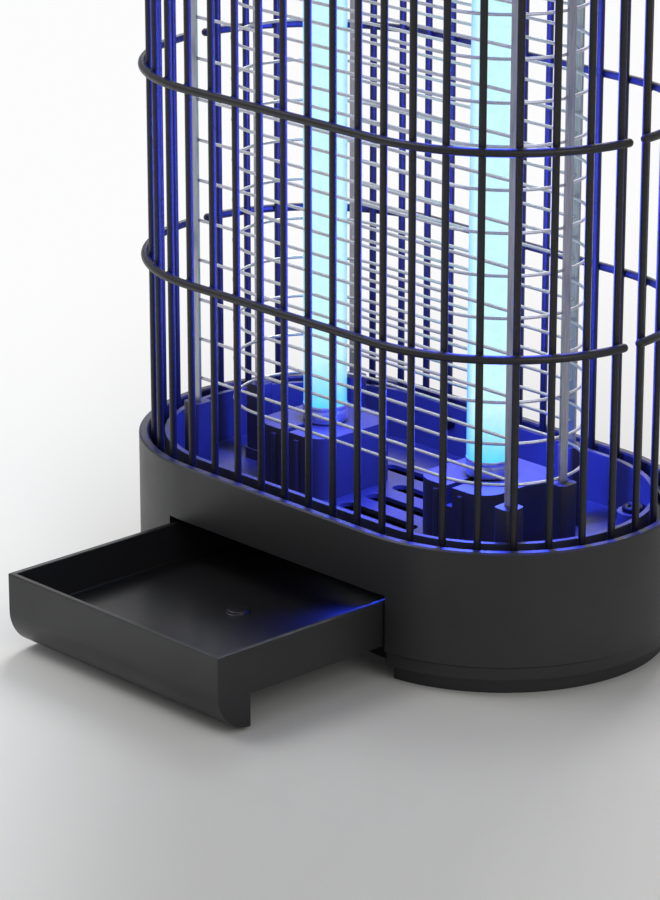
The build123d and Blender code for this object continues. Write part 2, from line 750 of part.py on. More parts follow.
with BuildPart() as top_cap:
    with BuildSketch(Plane.XY.offset(top_shell_top)):
        stadium(seat_outline)
    extrude(amount=pan_shadow_gap)
    with BuildSketch(Plane.XY.offset(top_shell_top + pan_shadow_gap)):
        stadium(step_outline)
    extrude(amount=cap_step_height - pan_shadow_gap)
    with BuildSketch(Plane.XY.offset(top_shell_top + cap_step_height)):
        stadium(foot_outline)
    extrude(amount=cap_height - cap_step_height)
    with BuildSketch(Plane.XY.offset(cap_underside)):
        stadium(foot_outline - cap_plate)
        stadium(recess_radius + cap_plate, Mode.SUBTRACT)
    extrude(amount=cap_top - cap_plate - cap_underside, mode=Mode.SUBTRACT)
    with BuildSketch(Plane.XY.offset(top_shell_top)):
        stadium(foot_outline - cap_plate)
    extrude(amount=cap_underside - top_shell_top, mode=Mode.SUBTRACT)
    with BuildSketch(Plane.XY.offset(recess_floor)):
        stadium(recess_radius)
    extrude(amount=recess_depth, mode=Mode.SUBTRACT)
    with BuildSketch(Plane.XY.offset(cap_underside)):
        with Locations(*boss_places):
            Circle(boss_radius)
    extrude(amount=cap_top - cap_plate - cap_underside)
    cap_crown = top_cap.faces().filter_by(Axis.Z).sort_by(Axis.Z)[-1]
    fillet(cap_crown.edges(), radius=cap_edge_fillet)
    # ears that carry the bail
    ear_x = bail_half_width - bail_wire - ear_side_gap - ear_thickness / 2
    with BuildSketch(Plane.XY.offset(recess_floor)):
        with Locations((-ear_x, 0), (ear_x, 0)):
            Rectangle(ear_thickness, ear_width)
    extrude(amount=ear_height)
    ear_tops = top_cap.edges().filter_by(Axis.X).filter_by_position(
        Axis.Z, recess_floor + ear_height - fit_gap / 2, recess_floor + ear_height + fit_gap / 2)
    fillet(ear_tops, radius=ear_height - bail_pivot_height - fit_gap)
    with BuildSketch(Plane.YZ.offset(-bail_half_width)):
        with Locations((0, bail_pivot)):
            Circle(bail_wire + bail_running_gap)
    extrude(amount=2 * bail_half_width, mode=Mode.SUBTRACT)
    with BuildSketch(Plane.XY.offset(cap_underside)):
        with Locations(*boss_places):
            Circle(screw_radius)
    extrude(amount=cap_top - cap_underside, mode=Mode.SUBTRACT)
    with BuildSketch(Plane.XY.offset(cap_top - screw_head_height)):
        with Locations(*boss_places):
            Circle(screw_head_radius + fit_gap)
    extrude(amount=screw_head_height, mode=Mode.SUBTRACT)
finish("top_cap", top_cap)

with BuildPart() as top_screws:
    vertical_screws(cap_top - screw_head_height, cap_underside - screw_bite, boss_places)
finish("top_screws", top_screws)

# the bail is one bent wire: its inward ends are the pivot pins
with BuildPart() as bail_handle:
    with BuildLine(Plane.XY.offset(bail_pivot)) as bail_line:
        pin_x = bail_half_width - bail_pin_inside
        FilletPolyline((-pin_x, 0), (-bail_half_width, 0), (-bail_half_width, bail_reach),
                       (bail_half_width, bail_reach), (bail_half_width, 0), (pin_x, 0),
                       radius=[bail_wire, bail_bend, bail_bend, bail_wire])
    bail_wire_path = bail_line.wires()[0]
    with BuildSketch(Plane(origin=bail_wire_path @ 0, z_dir=bail_wire_path % 0)):
        Circle(bail_wire)
    sweep(path=bail_wire_path)
finish("bail_handle", bail_handle)

# ---------------------------------------------------------------- electrics in the top housing
standoff_places = corners(board_width / 2 - standoff_inset, board_length / 2 - standoff_inset)

with BuildPart() as circuit_board:
    with BuildSketch(Plane.XY.offset(board_bottom)):
        Rectangle(board_width, board_length)
        with Locations(*standoff_places):
            Circle(screw_radius, mode=Mode.SUBTRACT)
    extrude(amount=board_thickness)
finish("circuit_board", circuit_board)

with BuildPart() as board_standoffs:
    with BuildSketch(Plane.XY.offset(top_deck_top)):
        with Locations(*standoff_places):
            Circle(standoff_radius)
    extrude(amount=standoff_height)
finish("board_standoffs", board_standoffs)

with BuildPart() as board_screws:
    with BuildSketch(Plane.XY.offset(board_bottom)):
        with Locations(*standoff_places):
            Circle(screw_radius)
    extrude(amount=board_thickness)
    with BuildSketch(Plane.XY.offset(board_top)):
        with Locations(*standoff_places):
            Circle(2 * screw_radius)
    extrude(amount=board_screw_head_height)
finish("board_screws", board_screws)


def laminated_coil(x, y, core_size, bulge):
    """Laminated iron core with the winding bulging from both open sides."""
    core_x, core_y, height = core_size
    with BuildSketch(Plane.XY.offset(board_top)) as core:
        with Locations((x, y)):
            Rectangle(core_x, core_y)
    extrude(core.sketch, amount=height)
    with BuildSketch(Plane.XY.offset(board_top + height * (1 - winding_share) / 2)) as winding:
        with Locations((x, y)):
            RectangleRounded(core_x - 2 * bulge, core_y + 2 * bulge, bulge)
    extrude(winding.sketch, amount=height * winding_share)


with BuildPart() as step_up_transformer:
    laminated_coil(0, coil_y, transformer_core, transformer_bulge)
finish("step_up_transformer", step_up_transformer)

with BuildPart() as lamp_choke:
    laminated_coil(choke_x, choke_y, choke_core, choke_bulge)
finish("lamp_choke", lamp_choke)

capacitor_places = [(capacitor_x, capacitor_first_y - index * capacitor_pitch)
                    for index in range(capacitor_count)]
with BuildPart() as storage_capacitors:
    with BuildSketch(Plane.XY.offset(board_top)):
        with Locations(*capacitor_places):
            Circle(capacitor_radius)
    extrude(amount=capacitor_height)
    capacitor_tops = storage_capacitors.faces().filter_by(Axis.Z).group_by(Axis.Z)[-1]
    fillet(capacitor_tops.edges(), radius=capacitor_edge)
finish("storage_capacitors", storage_capacitors)

with BuildPart() as bleed_resistors:
    with BuildSketch(Plane.YZ.offset(choke_x - resistor_length / 2)):
        for row in (0, 1):
            with Locations((resistor_first_y - row * resistor_pitch, board_top + resistor_radius)):
                Circle(resistor_radius)
    extrude(amount=resistor_length)
finish("bleed_resistors", bleed_resistors)

with BuildPart() as fuse_link:
    with BuildSketch(Plane.YZ.offset(-fuse_length / 2)):
        with Locations((fuse_y, board_top + fuse_height)):
            Circle(fuse_radius)
    extrude(amount=fuse_length)
finish("fuse_link", fuse_link)

with BuildPart() as fuse_clips:
    with BuildSketch(Plane.XY.offset(board_top)):
        with Locations((-fuse_clip_x, fuse_y), (fuse_clip_x, fuse_y)):
            Rectangle(fuse_clip_width, 2 * (fuse_radius + fuse_clip_wall))
    extrude(amount=fuse_height + fuse_clip_rise)
    with BuildSketch(Plane.YZ.offset(-fuse_length / 2)):
        with Locations((fuse_y, board_top + fuse_height)):
            Circle(fuse_radius)
    extrude(amount=fuse_length, mode=Mode.SUBTRACT)
finish("fuse_clips", fuse_clips)

# ---------------------------------------------------------------- rocker switch
window_length = 2 * (rocker_radius + rocker_gap)
window_height = switch_height - 2 * switch_wall
rocker_height = window_height - 2 * rocker_gap
rocker_y = outer_radius - rocker_pivot_depth

with BuildPart() as switch_body:
    with BuildSketch(Plane.XZ.offset(-outer_radius)):
        with Locations((switch_x, service_height)):
            Rectangle(switch_length, switch_height)
    extrude(amount=switch_depth)
    with BuildSketch(Plane.XZ.offset(-outer_radius)):
        with Locations((switch_x, service_height)):
            RectangleRounded(switch_length + 2 * bezel_margin, switch_height + 2 * bezel_margin,
                             bezel_corner)
    extrude(amount=-bezel_thickness)
    with BuildSketch(Plane.XZ.offset(-outer_radius - bezel_thickness)):
        with Locations((switch_x, service_height)):
            Rectangle(window_length, window_height)
    extrude(amount=switch_depth + bezel_thickness - switch_wall, mode=Mode.SUBTRACT)
    with BuildSketch(Plane.XY.offset(service_height - switch_height / 2)):
        with Locations((switch_x, rocker_y)):
            Circle(rocker_pin_radius + rocker_pin_gap)
    extrude(amount=switch_height, mode=Mode.SUBTRACT)
finish("switch_body", switch_body)

rocker_turn = math.radians(rocker_tilt)
rise = rocker_radius * math.tan(rocker_turn)
rocker_along = (math.cos(rocker_turn), -math.sin(rocker_turn), 0)
rocker_foot = (switch_x, rocker_y, service_height - rocker_height / 2)

with BuildPart() as switch_rocker:
    with BuildSketch(Plane(origin=rocker_foot, x_dir=rocker_along, z_dir=(0, 0, 1))):
        with BuildLine():
            Polyline((-rocker_radius, -rocker_back), (rocker_radius, -rocker_back),
                     (rocker_radius, rocker_valley + rise), (0, rocker_valley),
                     (-rocker_radius, rocker_valley + rise), (-rocker_radius, -rocker_back))
        make_face()
        Circle(rocker_radius, mode=Mode.INTERSECT)
    extrude(amount=rocker_height)
    with BuildSketch(Plane.XY.offset(service_height - rocker_height / 2 - rocker_pin_length)):
        with Locations((switch_x, rocker_y)):
            Circle(rocker_pin_radius)
    extrude(amount=rocker_height + 2 * rocker_pin_length)
finish("switch_rocker", switch_rocker)

# ---------------------------------------------------------------- cord gland
with BuildPart() as cord_gland:
    with BuildSketch(Plane.XZ.offset(-outer_radius - gland_collar_length)):
        with Locations((gland_x, service_height)):
            Circle(gland_collar)
    extrude(amount=gland_collar_length)
    with BuildSketch(Plane.XZ.offset(-outer_radius)):
        with Locations((gland_x, service_height)):
            Circle(gland_neck)
    extrude(amount=gland_inside)
    gland_front = cord_gland.faces().filter_by(Axis.Y).sort_by(Axis.Y)[-1]
    fillet(gland_front.edges(), radius=gland_edge)
    with BuildSketch(Plane.XZ.offset(-outer_radius - gland_collar_length)):
        with Locations((gland_x, service_height)):
            Circle(gland_bore)
    extrude(amount=gland_collar_length + gland_inside, mode=Mode.SUBTRACT)
finish("cord_gland", cord_gland)

with BuildPart() as gland_nut:
    with BuildSketch(Plane.XZ.offset(-inner_radius)):
        with Locations((gland_x, service_height)):
            RegularPolygon(gland_nut_radius, 6)
            Circle(gland_neck, mode=Mode.SUBTRACT)
    extrude(amount=gland_nut_length)
finish("gland_nut", gland_nut)
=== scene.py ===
import json
import math

import bmesh
import bpy
import numpy as np
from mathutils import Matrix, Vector

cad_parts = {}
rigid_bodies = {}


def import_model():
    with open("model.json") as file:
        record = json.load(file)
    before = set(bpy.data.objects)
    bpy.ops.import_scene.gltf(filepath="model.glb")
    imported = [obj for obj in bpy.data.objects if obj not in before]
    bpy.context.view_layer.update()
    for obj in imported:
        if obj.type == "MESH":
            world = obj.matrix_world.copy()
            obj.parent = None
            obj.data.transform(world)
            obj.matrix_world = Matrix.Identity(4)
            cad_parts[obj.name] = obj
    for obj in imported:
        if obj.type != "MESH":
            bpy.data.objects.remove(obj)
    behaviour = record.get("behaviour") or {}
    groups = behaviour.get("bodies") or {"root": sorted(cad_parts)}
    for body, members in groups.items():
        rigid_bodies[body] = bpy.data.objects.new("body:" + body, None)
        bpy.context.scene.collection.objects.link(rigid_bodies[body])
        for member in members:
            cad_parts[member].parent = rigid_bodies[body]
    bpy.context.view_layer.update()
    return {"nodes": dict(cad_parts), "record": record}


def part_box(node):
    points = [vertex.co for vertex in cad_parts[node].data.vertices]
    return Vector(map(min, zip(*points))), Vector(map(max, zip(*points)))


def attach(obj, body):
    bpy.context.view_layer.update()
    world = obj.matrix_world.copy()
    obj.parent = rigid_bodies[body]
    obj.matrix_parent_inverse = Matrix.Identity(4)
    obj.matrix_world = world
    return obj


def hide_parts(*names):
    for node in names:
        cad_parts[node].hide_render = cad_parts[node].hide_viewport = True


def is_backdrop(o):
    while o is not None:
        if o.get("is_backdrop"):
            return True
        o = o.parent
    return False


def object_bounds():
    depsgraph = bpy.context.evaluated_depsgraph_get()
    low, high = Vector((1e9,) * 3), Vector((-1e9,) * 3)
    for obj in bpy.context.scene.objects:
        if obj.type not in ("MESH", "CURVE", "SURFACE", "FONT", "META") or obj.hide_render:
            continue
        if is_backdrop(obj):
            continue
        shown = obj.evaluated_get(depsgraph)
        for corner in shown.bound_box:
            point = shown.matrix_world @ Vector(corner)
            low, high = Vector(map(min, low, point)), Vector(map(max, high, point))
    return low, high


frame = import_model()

MM = 0.001

# Sizes of the wire cage, the grid, the lamps and the bail, in millimetres, as the CAD parts have them.
HALF_SPAN = 47.5  # from the middle to the centre of each round end
BAR_RING, BAR_RADIUS, BAR_COUNT = 59.2, 1.3, 23
HOOP_RING, HOOP_RADIUS = 61.7, 1.5
HOOP_LEVELS = np.array([119.85, 190.65, 261.45])
FRONT_SEAM, REAR_SEAM = 3.5, 1.2  # from the end of each half's hoops to the line between the halves
BEAD_RADIUS, BEAD_HALF_HEIGHT = 1.15, 1.75  # a bead's centre is its radius out from the bar's axis
LOOP_RADIUS, WIRE_RADIUS, WIRE_PITCH = 29.5, 0.6, 15.0
LOOP_LEVELS = 64.5 + WIRE_PITCH * np.arange(19)
LOOP_STEPS = 168
STRAIGHT_LEVELS = 72.0 + WIRE_PITCH * np.arange(18)
STRAIGHT_Y = 31.0
STRAIGHT_ENDS = ((-77.0, 82.5, -1), (-60.0, 52.0, 1))  # left end, right end, and -1 in front or 1 behind
LAMP_X = 42.0
TUBE_RADIUS, TUBE_SHOULDER = 8.0, 1.6
PIN_OFFSET = 2.5  # from the lamp's axis to each contact pin
BOSS_RING, BOSS_ANGLES = 48.1, (-64.0, 52.0)
SCREW_SHANK = 1.5
FOOT_X, FOOT_Y = 66, 30
BAIL_END, BAIL_SIDE, BAIL_REACH, BAIL_WIRE = 34.5, 42.0, 36.0, 2.5
BAIL_PIVOT_BEND, BAIL_GRIP_BEND = 2.6, 9.0

# Flat sides round each kind of round piece: fewer where there are many of them.
LATHE_SIDES, BAIL_SIDES, PIN_SIDES, CAGE_SIDES, GRID_SIDES, BEAD_SIDES = 48, 24, 20, 16, 10, 8


# ------------------------------------------------------------------ camera
VIEW_TURN = math.radians(46.54)
VIEW_LIFT = math.radians(18.96)
camera_data = bpy.data.cameras.new("camera")
camera_data.lens = 154.7
camera_data.sensor_width = 36.0
camera_data.clip_end = 50
camera = bpy.data.objects.new("camera", camera_data)
camera.location = (0.9394, -0.9276, 0.5088)
backwards = Vector((math.sin(VIEW_TURN) * math.cos(VIEW_LIFT), -math.cos(VIEW_TURN) * math.cos(VIEW_LIFT),
                    math.sin(VIEW_LIFT)))
camera.rotation_mode = "QUATERNION"
camera.rotation_quaternion = (-backwards).to_track_quat("-Z", "Y")
bpy.context.collection.objects.link(camera)
bpy.context.scene.camera = camera


# ------------------------------------------------------------------ finishes
def srgb(hex_colour):
    """Linear colour of an sRGB hex value such as #1c1c1e."""
    parts = [int(hex_colour[i:i + 2], 16) / 255 for i in (1, 3, 5)]
    linear = [c / 12.92 if c <= 0.04045 else ((c + 0.055) / 1.055) ** 2.4 for c in parts]
    return (*linear, 1.0)


def add_node(tree, kind, inputs=None, **settings):
    """Add one node with its own settings; inputs are values or sockets to link, by name or number."""
    node = tree.nodes.new(kind)
    for key, value in settings.items():
        setattr(node, key, value)
    for key, value in (inputs or {}).items():
        if isinstance(value, bpy.types.NodeSocket):
            tree.links.new(value, node.inputs[key])
        else:
            node.inputs[key].default_value = value
    return node


def blank(name):
    """A node material with only its output node."""
    material = bpy.data.materials.new(name)
    material.use_nodes = True
    material.node_tree.nodes.clear()
    return material, material.node_tree, add_node(material.node_tree, "ShaderNodeOutputMaterial")


def moulded(name, dark, light, spark_mm, depth_mm, rough_low, rough_high, ior=1.53):
    """Plastic out of a steel mould. The mould's spark-eroded texture gives an even grain spark_mm across
    and depth_mm deep; the flow of the melt and handling leave broad, faint changes of shade and sheen."""
    material, tree, output = blank(name)
    place = add_node(tree, "ShaderNodeTexCoord").outputs["Object"]
    cloud = add_node(tree, "ShaderNodeTexNoise", {"Vector": place, "Scale": 1 / (38 * MM), "Detail": 3.0})
    shade = add_node(tree, "ShaderNodeMapRange", {0: cloud.outputs[0], 1: 0.35, 2: 0.65})
    colour = add_node(tree, "ShaderNodeMix", {0: shade.outputs[0], 6: srgb(dark), 7: srgb(light)},
                      data_type="RGBA")
    sheen = add_node(tree, "ShaderNodeMapRange", {0: cloud.outputs[0], 1: 0.35, 2: 0.65, 3: rough_high,
                                                  4: rough_low})
    spark = add_node(tree, "ShaderNodeTexNoise", {"Vector": place, "Scale": 1 / (spark_mm * MM),
                                                  "Detail": 2.0})
    relief = add_node(tree, "ShaderNodeBump", {"Height": spark.outputs[0], "Distance": depth_mm * MM})
    shader = add_node(tree, "ShaderNodeBsdfPrincipled", {
        "Base Color": colour.outputs[2], "Roughness": sheen.outputs[0], "IOR": ior,
        "Normal": relief.outputs[0]})
    tree.links.new(shader.outputs[0], output.inputs[0])
    return material


def powder_coated(name, dark, light, rough_low, rough_high):
    """Steel wire under baked powder: orange peel about 1.2 mm across, thinner and shinier on its crests."""
    material, tree, output = blank(name)
    place = add_node(tree, "ShaderNodeTexCoord").outputs["Object"]
    peel = add_node(tree, "ShaderNodeTexNoise", {"Vector": place, "Scale": 1 / (1.2 * MM), "Detail": 1.0})
    shade = add_node(tree, "ShaderNodeMapRange", {0: peel.outputs[0], 1: 0.35, 2: 0.65})
    colour = add_node(tree, "ShaderNodeMix", {0: shade.outputs[0], 6: srgb(dark), 7: srgb(light)},
                      data_type="RGBA")
    sheen = add_node(tree, "ShaderNodeMapRange", {0: peel.outputs[0], 1: 0.35, 2: 0.65, 3: rough_high,
                                                  4: rough_low})
    relief = add_node(tree, "ShaderNodeBump", {"Height": peel.outputs[0], "Distance": 0.03 * MM})
    shader = add_node(tree, "ShaderNodeBsdfPrincipled", {
        "Base Color": colour.outputs[2], "Roughness": sheen.outputs[0], "IOR": 1.5,
        "Normal": relief.outputs[0]})
    tree.links.new(shader.outputs[0], output.inputs[0])
    return material


def worked_metal(name, dark, light, rough_low, rough_high, streak_mm, stretch):
    """Metal drawn through a die, rolled or turned: streaks streak_mm apart, drawn out along each axis whose
    stretch is under 1."""
    material, tree, output = blank(name)
    place = add_node(tree, "ShaderNodeTexCoord").outputs["Object"]
    along = add_node(tree, "ShaderNodeMapping", {"Vector": place, "Scale": stretch})
    streak = add_node(tree, "ShaderNodeTexNoise", {"Vector": along.outputs[0], "Scale": 1 / (streak_mm * MM),
                                                   "Detail": 3.0})
    shade = add_node(tree, "ShaderNodeMapRange", {0: streak.outputs[0], 1: 0.32, 2: 0.68})
    colour = add_node(tree, "ShaderNodeMix", {0: shade.outputs[0], 6: srgb(dark), 7: srgb(light)},
                      data_type="RGBA")
    sheen = add_node(tree, "ShaderNodeMapRange", {0: streak.outputs[0], 1: 0.32, 2: 0.68, 3: rough_low,
                                                  4: rough_high})
    relief = add_node(tree, "ShaderNodeBump", {"Height": streak.outputs[0], "Distance": 0.01 * MM})
    shader = add_node(tree, "ShaderNodeBsdfPrincipled", {
        "Base Color": colour.outputs[2], "Metallic": 1.0, "Roughness": sheen.outputs[0],
        "Normal": relief.outputs[0]})
    tree.links.new(shader.outputs[0], output.inputs[0])
    return material


def lit_phosphor(name, low_mm, high_mm):
    """Phosphor powder inside soda-lime glass, alight: pale cyan across the middle, blue at the edges
    where the light grazes the glass, and a deeper cyan over the 20 mm next to each cap."""
    material, tree, output = blank(name)
    place = add_node(tree, "ShaderNodeTexCoord").outputs["Object"]
    height = add_node(tree, "ShaderNodeSeparateXYZ", {0: place}).outputs[2]
    bottom = add_node(tree, "ShaderNodeMapRange", {0: height, 1: (low_mm + 4) * MM, 2: (low_mm + 24) * MM,
                                                   3: 1.0, 4: 0.0})
    top = add_node(tree, "ShaderNodeMapRange", {0: height, 1: (high_mm - 24) * MM, 2: (high_mm - 4) * MM})
    ends = add_node(tree, "ShaderNodeMath", {0: bottom.outputs[0], 1: top.outputs[0]}, operation="MAXIMUM")
    middle = add_node(tree, "ShaderNodeMix", {0: ends.outputs[0], 6: srgb("#cdfdfb"), 7: srgb("#5fdcff")},
                      data_type="RGBA")
    grazing = add_node(tree, "ShaderNodeLayerWeight", {"Blend": 0.4})
    rim = add_node(tree, "ShaderNodeMapRange", {0: grazing.outputs["Facing"], 1: 0.3, 2: 0.75})
    glow = add_node(tree, "ShaderNodeMix", {0: rim.outputs[0], 6: middle.outputs[2], 7: srgb("#5fb0ff")},
                    data_type="RGBA")
    powder = add_node(tree, "ShaderNodeTexNoise", {"Vector": place, "Scale": 1 / (3 * MM), "Detail": 2.0})
    strength = add_node(tree, "ShaderNodeMapRange", {0: powder.outputs[0], 1: 0.3, 2: 0.7, 3: 0.94, 4: 1.02})
    shader = add_node(tree, "ShaderNodeBsdfPrincipled", {
        "Base Color": srgb("#23424a"), "Roughness": 0.12, "IOR": 1.52, "Emission Color": glow.outputs[2],
        "Emission Strength": strength.outputs[0]})
    tree.links.new(shader.outputs[0], output.inputs[0])
    return material


def wound_iron(name):
    """Stacked silicon-steel laminations, 0.5 mm each in the real core and drawn about 6 mm apart here, with
    a varnish that darkens the joints."""
    material, tree, output = blank(name)
    place = add_node(tree, "ShaderNodeTexCoord").outputs["Object"]
    sheets = add_node(tree, "ShaderNodeTexWave", {"Vector": place, "Scale": 1 / (20 * MM), "Distortion": 0.4},
                      bands_direction="Z")
    colour = add_node(tree, "ShaderNodeMix", {0: sheets.outputs[1], 6: srgb("#3b3b3d"), 7: srgb("#77787c")},
                      data_type="RGBA")
    relief = add_node(tree, "ShaderNodeBump", {"Height": sheets.outputs[1], "Distance": 0.08 * MM})
    shader = add_node(tree, "ShaderNodeBsdfPrincipled", {
        "Base Color": colour.outputs[2], "Metallic": 0.8, "Roughness": 0.48, "Normal": relief.outputs[0]})
    tree.links.new(shader.outputs[0], output.inputs[0])
    return material


tube_low, tube_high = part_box("lamp_left_glass")
finish_of_slot = {
    # ABS from a spark-eroded mould: near-black, satin, a fine even grain that spreads every highlight
    "housing_plastic": moulded("housing_spark_textured_abs", "#18181a", "#1f1f21", 0.9, 0.03, 0.40, 0.50),
    # the same ABS from a plainer mould, a little duller
    "pan_plastic": moulded("pan_spark_textured_abs", "#19191b", "#1f1f21", 0.9, 0.03, 0.46, 0.54),
    # ABS from a finely stoned mould: smoother, so edges and walls catch longer highlights
    "tray_plastic": moulded("tray_stoned_mould_abs", "#151517", "#1b1b1d", 1.0, 0.02, 0.34, 0.44),
    # flame-retardant ABS: mineral filler makes it greyer and flatter
    "deck_plastic": moulded("deck_flame_retardant_abs", "#2b2d36", "#343642", 1.2, 0.03, 0.36, 0.46),
    # glass-filled PBT, satin, with a faint fibrous grain
    "socket_plastic": moulded("lamp_holder_glass_filled_pbt", "#242429", "#2c2c33", 0.8, 0.03, 0.38, 0.48),
    # natural black nylon, slightly waxy
    "insulator_plastic": moulded("insulator_nylon", "#222228", "#2a2a32", 0.8, 0.02, 0.34, 0.44),
    # moulded rubber, dead matt
    "foot_rubber": moulded("foot_moulded_rubber", "#131313", "#1a1a1a", 0.6, 0.03, 0.74, 0.84),
    # polished nylon of the switch, near gloss
    "switch_plastic": moulded("switch_polished_nylon", "#17171a", "#1d1d20", 0.6, 0.008, 0.2, 0.28),
    "rocker_plastic": moulded("rocker_polished_nylon", "#1d1d20", "#252528", 0.6, 0.006, 0.14, 0.22),
    "gland_nylon": moulded("gland_nylon", "#17171a", "#1f1f22", 0.7, 0.02, 0.4, 0.5),
    # steel wire under satin black powder
    "cage_powder_coat": powder_coated("cage_satin_powder_coat", "#0d0d0f", "#151518", 0.36, 0.48),
    "bail_steel": powder_coated("bail_satin_powder_coat", "#141416", "#1b1b1e", 0.34, 0.45),
    # stainless wire from the drawing die: bright, too thin for its streaks to show
    "grid_wire_steel": worked_metal("grid_drawn_stainless", "#c6c8cc", "#e2e4e8", 0.3, 0.44, 0.5, (1, 1, 1)),
    # stainless strip from the rolling mill: streaks up the strip
    "grid_strip_steel": worked_metal("strip_rolled_stainless", "#9b9da4", "#bfc1c8", 0.34, 0.48, 0.6,
                                     (1, 1, 0.06)),
    # drawn aluminium caps, faint rings from the drawing
    "lamp_cap_aluminium": worked_metal("lamp_cap_drawn_aluminium", "#b9c4cd", "#d9e2e9", 0.3, 0.42, 0.5,
                                       (0.1, 0.1, 1)),
    # turned brass contacts
    "pin_brass": worked_metal("contact_turned_brass", "#c1a057", "#dcc07c", 0.24, 0.35, 0.4, (0.3, 0.3, 1)),
    # zinc plate over steel: pale, slightly blue-grey
    "screw_steel": worked_metal("screw_zinc_plate", "#a9adb1", "#c8ccd0", 0.3, 0.42, 0.5, (1, 1, 1)),
    # black oxide over steel: an oily dark grey
    "black_screw_steel": worked_metal("screw_black_oxide", "#2a2a2c", "#38383b", 0.32, 0.46, 0.5, (1, 1, 1)),
    # green solder mask over glass cloth
    "board_laminate": moulded("board_solder_mask", "#14502a", "#1b6034", 1.5, 0.02, 0.24, 0.34),
    "coil_iron": wound_iron("core_varnished_laminations"),
    # shrunk PVC sleeve, glossy
    "capacitor_sleeve": moulded("capacitor_pvc_sleeve", "#16204a", "#1c2858", 1.0, 0.01, 0.2, 0.3),
    # dipped epoxy coating
    "resistor_coating": moulded("resistor_dipped_epoxy", "#b59a6c", "#c6ac7d", 0.8, 0.02, 0.25, 0.35),
    # clear glass over a pale filler
    "fuse_glass": moulded("fuse_filled_glass", "#c8d2d4", "#dbe3e4", 2.0, 0.002, 0.05, 0.08, 1.52),
    "lamp_glass": lit_phosphor("lamp_phosphor_alight", tube_low.z / MM, tube_high.z / MM),
}
slot_of_node = {s["node"]: s["material_slot"] for s in frame["record"]["subparts"]}
body_of_node = {n: b for b, nodes in frame["record"]["behaviour"]["bodies"].items() for n in nodes}


def dress(obj, material):
    """Give an object one material."""
    obj.data.materials.clear()
    obj.data.materials.append(material)


for node_name, node_object in frame["nodes"].items():
    dress(node_object, finish_of_slot[slot_of_node[node_name]])


# ------------------------------------------------------------------ surfaces worked out as arrays
CREASE_ANGLE = math.radians(40)  # a bend sharper than this keeps a crisp edge


def lattice(rows, columns, wrap_rows, wrap_columns):
    """Corner numbers of the quads between neighbouring points of a rows by columns grid."""
    r = np.arange(rows if wrap_rows else rows - 1)[:, None]
    c = np.arange(columns if wrap_columns else columns - 1)[None, :]
    r_next, c_next = (r + 1) % rows, (c + 1) % columns
    quads = [r * columns + c, r * columns + c_next, r_next * columns + c_next, r_next * columns + c]
    return np.stack(quads, -1).reshape(-1, 4)


def make_piece(name, sheets, like_node, replaced=()):
    """Join sheets of points (copies, rows, columns, 3) in millimetres into one object.

    Each sheet is (points, wrap_rows, wrap_columns). The piece takes its body and finish from a CAD node.
    """
    corner_blocks, face_blocks, start = [], [], 0
    for points, wrap_rows, wrap_columns in sheets:
        copies, rows, columns, _ = points.shape
        faces = lattice(rows, columns, wrap_rows, wrap_columns)
        offsets = start + rows * columns * np.arange(copies)
        face_blocks.append((faces[None] + offsets[:, None, None]).reshape(-1, 4))
        corner_blocks.append(points.reshape(-1, 3))
        start += points.size // 3
    corners, faces = np.concatenate(corner_blocks) * MM, np.concatenate(face_blocks)
    mesh = bpy.data.meshes.new(name)
    mesh.vertices.add(len(corners))
    mesh.vertices.foreach_set("co", corners.astype(np.float32).ravel())
    mesh.loops.add(faces.size)
    mesh.loops.foreach_set("vertex_index", faces.astype(np.int32).ravel())
    mesh.polygons.add(len(faces))
    mesh.polygons.foreach_set("loop_start", np.arange(0, faces.size, 4, dtype=np.int32))
    mesh.update(calc_edges=True)
    work = bmesh.new()
    work.from_mesh(mesh)
    bmesh.ops.remove_doubles(work, verts=work.verts, dist=0.001 * MM)
    bmesh.ops.recalc_face_normals(work, faces=work.faces)
    work.to_mesh(mesh)
    work.free()
    mesh.shade_smooth()
    mesh.set_sharp_from_angle(angle=CREASE_ANGLE)
    piece = bpy.data.objects.new(name, mesh)
    bpy.context.collection.objects.link(piece)
    settle(piece, like_node, replaced)


def settle(piece, like_node, replaced):
    """Ride a piece on a CAD node's body and give it that node's slot and finish."""
    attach(piece, body_of_node[like_node])
    if replaced:
        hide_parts(*replaced)
    dress(piece, finish_of_slot[slot_of_node[like_node]])


def turned(profile, centres, sides):
    """Profile of (radius, height) rows turned about an upright axis through each centre:
    x = cx + r cos t, y = cy + r sin t, z = cz + h."""
    profile, centres = np.asarray(profile, float), np.asarray(centres, float).reshape(-1, 3)
    turn = np.linspace(0, 2 * math.pi, sides, endpoint=False)
    ring = np.stack([profile[:, :1] * np.cos(turn), profile[:, :1] * np.sin(turn),
                     profile[:, 1:] + 0 * turn], -1)
    return centres[:, None, None, :] + ring[None]


def rounded_rod(radius, length, steps=5):
    """(radius, height) rows of a rod with half balls for ends: r = R sin a, h = R (1 - cos a) at the foot."""
    a = np.linspace(0, math.pi / 2, steps)
    foot = np.stack([radius * np.sin(a), radius * (1 - np.cos(a))], -1)
    head = np.stack([radius * np.sin(a), length - radius * (1 - np.cos(a))], -1)[::-1]
    return np.concatenate([foot, head])


